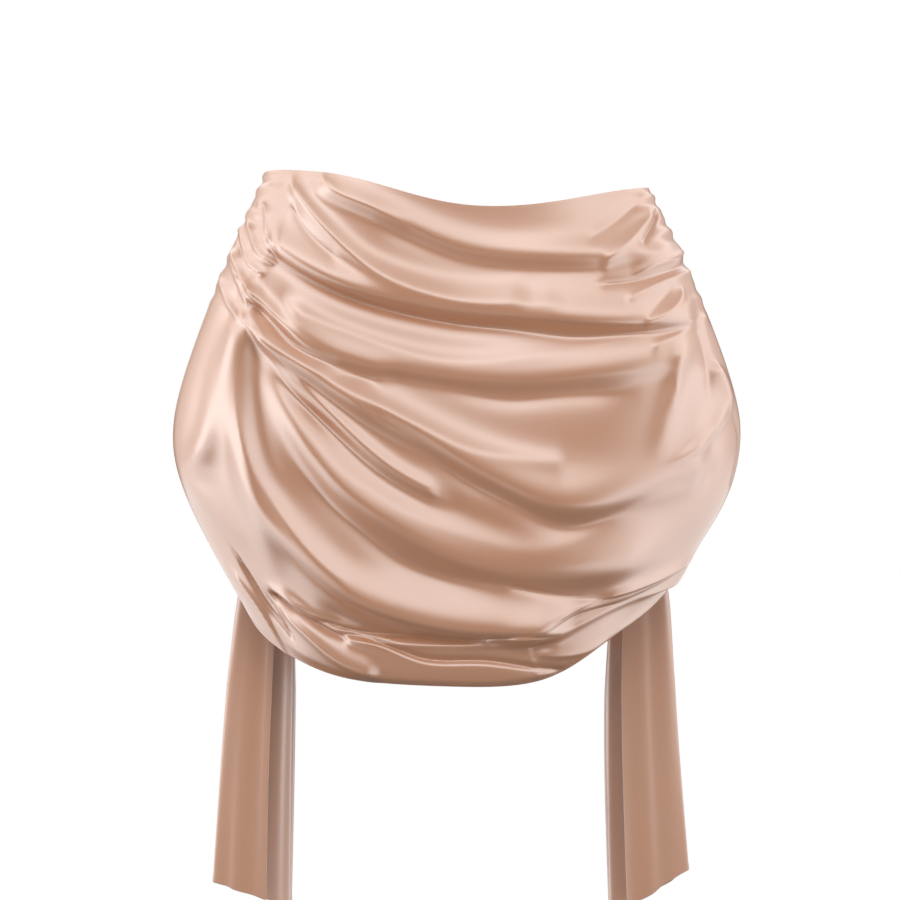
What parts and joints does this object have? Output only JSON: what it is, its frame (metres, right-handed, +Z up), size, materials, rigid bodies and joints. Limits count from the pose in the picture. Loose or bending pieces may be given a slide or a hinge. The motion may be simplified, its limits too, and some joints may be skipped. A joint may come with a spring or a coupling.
{
  "type": "evening stole",
  "caption": "Wide satin evening stole worn off the shoulder: a swagged band behind the back, round both arms and over the forearms, with pleated hanging tails.",
  "frame": {"origin": "midway between the two elbow crooks, where the wearer's arms hold the cloth", "axes": "+Z up, +X to the wearer's left, +Y behind the wearer; the wearer faces -Y"},
  "size_m": [0.6568, 0.3154, 0.8685],
  "materials": {
    "satin": "champagne rose satin, glossy on its face and duller on its reverse"
  },
  "bodies": {
    "root": {"back_drape": "satin", "left_arm_wrap": "satin", "right_arm_wrap": "satin", "left_tail": "satin", "right_tail": "satin"}
  },
  "joints": []
}
